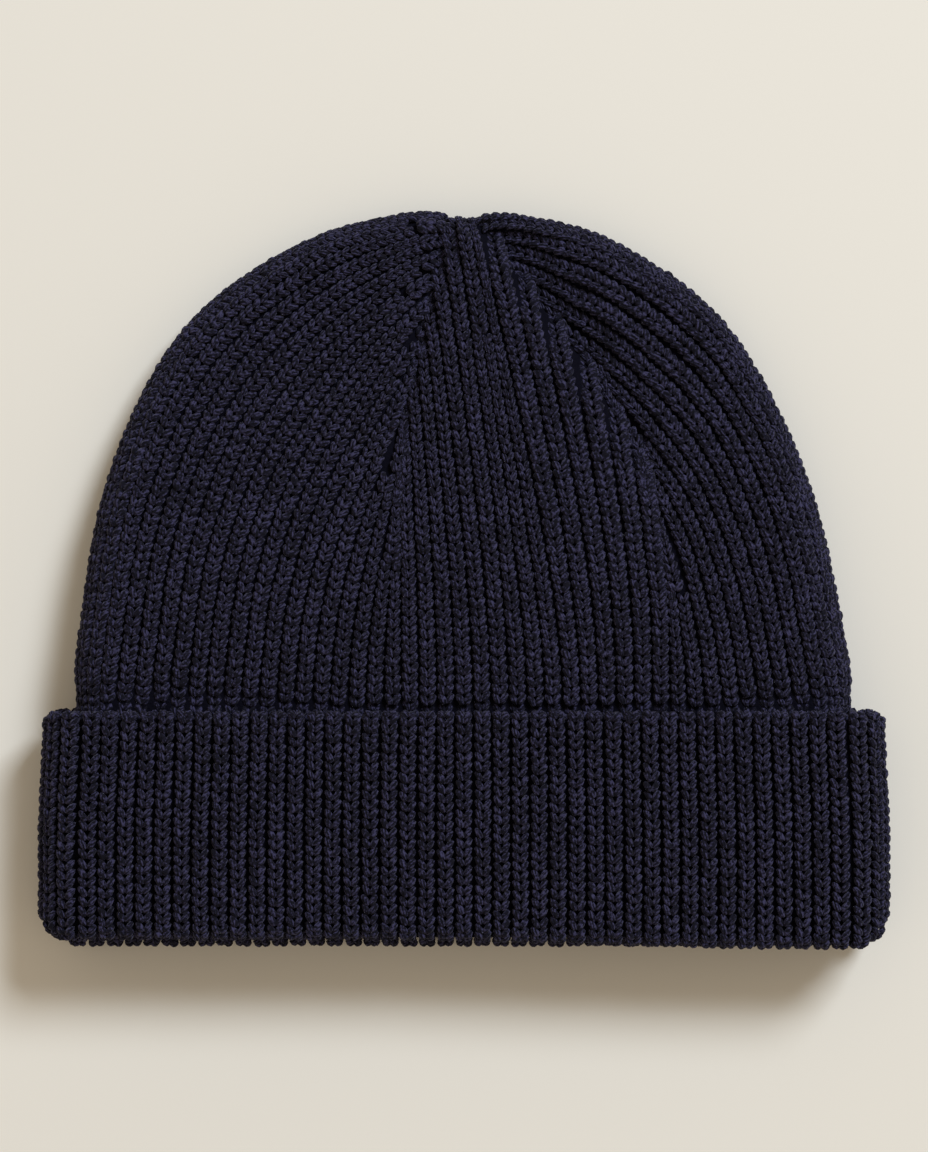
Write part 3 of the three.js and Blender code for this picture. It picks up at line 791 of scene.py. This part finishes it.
def crown_cloth():
    """A closed shell behind the crown's stitches: an outer and an inner skin, joined at the seat.
    At the tip both faces share one direction out, so that their places coincide."""
    down = np.linspace(1, 0, DART_STEPS + 1)
    up = down[::-1]
    to_long = LONG_RIBS * (1 - down) ** (1 / CROWDING)
    from_long = LONG_RIBS + MIDDLE_RIBS * LONG_DART_SHARE * up[1:]
    tip = [LONG_RIBS + MIDDLE_RIBS * (LONG_DART_SHARE + TIP_SHARE) / 2]
    to_short = SHORT_START - MIDDLE_RIBS * (1 - TIP_SHARE) * down
    from_short = SHORT_START + SHORT_RIBS * (1 - (1 - up[1:-1]) ** (1 / CROWDING))
    face = np.concatenate([to_long, from_long, tip, to_short, from_short])
    ribs = np.concatenate([face, face + FACE_RIBS])
    grow = 1 - (1 - np.linspace(0, 1, GROW_STEPS)) ** GROW_POWER
    outer_ways = np.concatenate([np.array(OUTER_HEIGHTS) / CUFF_HEIGHT - 1, grow])
    outer_inset = np.concatenate([OUTER_INSETS, np.full(len(grow), BEHIND_STITCHES)])
    inner_ways = np.concatenate([np.array(INNER_HEIGHTS) / CUFF_HEIGHT - 1, grow[::2]])
    inner_inset = np.concatenate([INNER_INSETS, np.full(len(grow[::2]), INSIDE)])
    skins = []
    for ways, inset in ((outer_ways, outer_inset), (inner_ways, inner_inset)):
        point, normal = crown_surface(ribs[None, :], ways[:, None])
        across_tip = np.abs(point[..., 0]) < TIP_WIDTH / 2 + NEAR_TIP
        at_tip = (ways[:, None] == 1) & across_tip & (point[..., 1] > TIP_Y - NEAR_TIP)
        normal[at_tip] = 0, 1, 0
        skins.append((point - inset[:, None, None] * normal).reshape(-1, 3))
    count = len(ribs)
    outer = ring_faces(len(outer_ways), count)
    inner = ring_faces(len(inner_ways), count)[:, ::-1] + len(skins[0])
    turn = np.arange(count)
    after = (turn + 1) % count
    first = len(skins[0])
    edge = np.stack([turn, first + turn, first + after, after], 1)
    return np.concatenate(skins), [np.concatenate([outer, inner, edge])]


# This shell's finish is painted shade, darker than the yarn, as the cloth between the ribs looks in shadow.
piece("crown_cloth", *crown_cloth(), shaded_backing, "crown", merge=True)


# %% [markdown]
# The cuff's cloth is one ring whose section is a closed loop, a little inside the cuff's face.

# %% The cuff's cloth behind its stitches
BEHIND_CUFF, SEAT_GAP, FOLD_STEPS = 2.6, 0.5, 7


def cuff_cloth():
    """A ring whose section is a closed loop: outside, round the fold, up to the seat, and back up
    the cuff's inner side to the rim."""
    ribs = np.arange(0, ALL_RIBS, 0.5)
    radius, seat = FOLD_RADIUS - BEHIND_CUFF, CROWN_START - SEAT_GAP
    section = [(BEHIND_CUFF, height) for height in (RIM_SIDE - 1.5, 45, 25, FOLD_RADIUS + 4)]
    section += [(FOLD_RADIUS - radius * np.cos(angle), FOLD_RADIUS - radius * np.sin(angle))
                for angle in np.linspace(0, np.pi, FOLD_STEPS)]
    section += [(2 * FOLD_RADIUS - BEHIND_CUFF, seat), (LIFT + 0.1, seat), (LIFT, FOLD_RADIUS),
                (WALL, FOLD_RADIUS), (WALL, 30), (WALL, RIM_SIDE - 2), (3.0, RIM_SIDE - 1)]
    inset, height = np.array(section).T
    spine, out_x, out_z = tube(ribs)
    share = height[:, None] / CUFF_HEIGHT
    lift = edge_lift(ribs, share)
    radius = CUFF_RADIUS - inset[:, None]
    x = spine * cuff_spine(height)[:, None] + out_x * radius
    places = np.stack([x, height[:, None] + lift, CUFF_RADIUS + out_z * radius], -1)
    rows = ring_faces(len(section), len(ribs))
    turn = np.arange(len(ribs))
    after = (turn + 1) % len(ribs)
    last = (len(section) - 1) * len(ribs)
    close = np.stack([last + turn, last + after, after, turn], 1)
    return places.reshape(-1, 3), [np.concatenate([rows, close])]


# This shell too takes the finish of painted shade, darker than the yarn.
piece("cuff_cloth", *cuff_cloth(), shaded_backing, "cuff", merge=True)

# %% [markdown]
# On the crown the ribs crowd towards the darts. A knitter takes two ribs together there, so where
# two ribs would be narrower than the yarn allows, one wider rib takes their place.

# %% The crown's stitches
OVERRUN, BLOCK = 5.5, 8
GORES = {
    "long_side": (0, LONG_RIBS),
    "middle": (LONG_RIBS, SHORT_START),
    "short_side": (SHORT_START, FACE_RIBS),
}
crown_path = np.concatenate([[-0.16, -0.08], np.linspace(0, 1, 220), np.linspace(1.01, 1.07, 7)])


def split(start, end, wider):
    """The columns of a block of ribs and of its halves, down to single ribs."""
    made = [column(crown_surface, start, end, crown_path, 1, 1, OVERRUN, wider)]
    if end - start > 1:
        middle = start + 2 ** int(np.ceil(np.log2(end - start)) - 1)
        wider = [*wider, block_line(crown_surface, start, end, crown_path)]
        made += split(start, middle, wider) + split(middle, end, wider)
    return made


for face, side in enumerate(("front", "back")):
    for gore, (first, last) in GORES.items():
        columns = []
        for start in range(first, last, BLOCK):
            end = min(start + BLOCK, last)
            columns += split(face * FACE_RIBS + start, face * FACE_RIBS + end, [])
        places, faces, yarn, tone = stitched(crown_surface, columns)
        piece(f"crown_stitches_{side}_{gore}", places, faces, crown_yarn, "crown", yarn, tone)

# %% [markdown]
# The cuff's ribs all have the same width, and their rows go from the rim round the fold into the
# mouth. The cuff is read from the mouth up, so that its stitches point the same way.

# %% The cuff's stitches
cuff_path = np.linspace(0, PATH_SEAT + 24, 200)


def cuff_way(rib, way):
    """The cuff's face read from the mouth up, so that the stitches' points look down."""
    return cuff_surface(rib, cuff_path[-1] - way)


for face, side in enumerate(("front", "back")):
    base = face * FACE_RIBS
    made = [column(cuff_way, rib, rib + 1, cuff_path, cuff_path[-1], 1, -1)
            for rib in range(base, base + FACE_RIBS)]
    middle, ways, pitch, _ = (np.concatenate([c[k] for c in made]) for k in range(4))
    even = np.ones(len(middle))
    places, faces, yarn, tone = legs(cuff_way, middle, pitch, ways, 0 * even, even)
    piece(f"cuff_stitches_{side}", places, faces, cuff_yarn, "cuff", yarn, tone)

# %% [markdown]
# The hat lies on a plain pale surface under one large soft light from the upper right and a warm
# fill all round. The camera looks straight down.

# %% Floor, light and camera
FLOOR, FLOOR_HALF = (0.775, 0.74, 0.665, 1), 3
FILL, FILL_STRENGTH = (1.0, 0.86, 0.69, 1), 0.49
KEY, KEY_SIZE, KEY_POWER, KEY_DISTANCE = (0.80, 0.89, 1.0), 1.25, 152, 4
floor_finish = Finish("pale paper", base_color=FLOOR, roughness=0.9, specular_ior_level=0.2)
floor_mesh = bpy.data.meshes.new("floor")
corners = [(x * FLOOR_HALF, y * FLOOR_HALF, 0) for x, y in ((-1, -1), (1, -1), (1, 1), (-1, 1))]
floor_mesh.from_pydata(corners, [], [(0, 1, 2, 3)])
floor_mesh.materials.append(floor_finish.material)
floor = bpy.data.objects.new("floor", floor_mesh)
bpy.context.scene.collection.objects.link(floor)
floor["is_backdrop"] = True

scene = bpy.context.scene
world = bpy.data.worlds.new("studio")
scene.world = world
world.use_nodes = True
background = world.node_tree.nodes["Background"]
background.inputs["Color"].default_value = FILL
background.inputs["Strength"].default_value = FILL_STRENGTH

to_light = np.array([0.455, 0.56, 0.692])
key_light = bpy.data.lights.new("key", "AREA")
key_light.shape, key_light.size = "SQUARE", KEY_SIZE
key_light.energy, key_light.color = KEY_POWER, KEY
key = bpy.data.objects.new("key", key_light)
key.location = to_light * KEY_DISTANCE
key.rotation_mode = "QUATERNION"
key.rotation_quaternion = Vector(to_light).to_track_quat("Z", "Y")
scene.collection.objects.link(key)

PICTURE_HEIGHT, CAMERA_RISE, SENSOR = 0.3133, 1.0, 36
camera_data = bpy.data.cameras.new("camera")
camera_data.sensor_width = SENSOR
camera_data.lens = SENSOR * CAMERA_RISE / PICTURE_HEIGHT
camera = bpy.data.objects.new("camera", camera_data)
camera.location = (0, 0, CAMERA_RISE + CUFF_RADIUS / 1000)
scene.collection.objects.link(camera)
scene.camera = camera
scene.view_settings.view_transform = "Standard"
print("lens in mm:", round(camera_data.lens, 1))

# %% [markdown]
# At the end the whole model's box is set beside the solids' box, and both are printed in
# millimetres. The stitches stay within a few millimetres of the solids.

# %% Sizes at the end
bpy.context.view_layer.update()
boxes = {"cad": [list(corner) for corner in cad_box], "visual": [list(corner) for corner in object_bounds()]}
for name, box in boxes.items():
    print(name, [round(1000 * value, 1) for corner in box for value in corner])
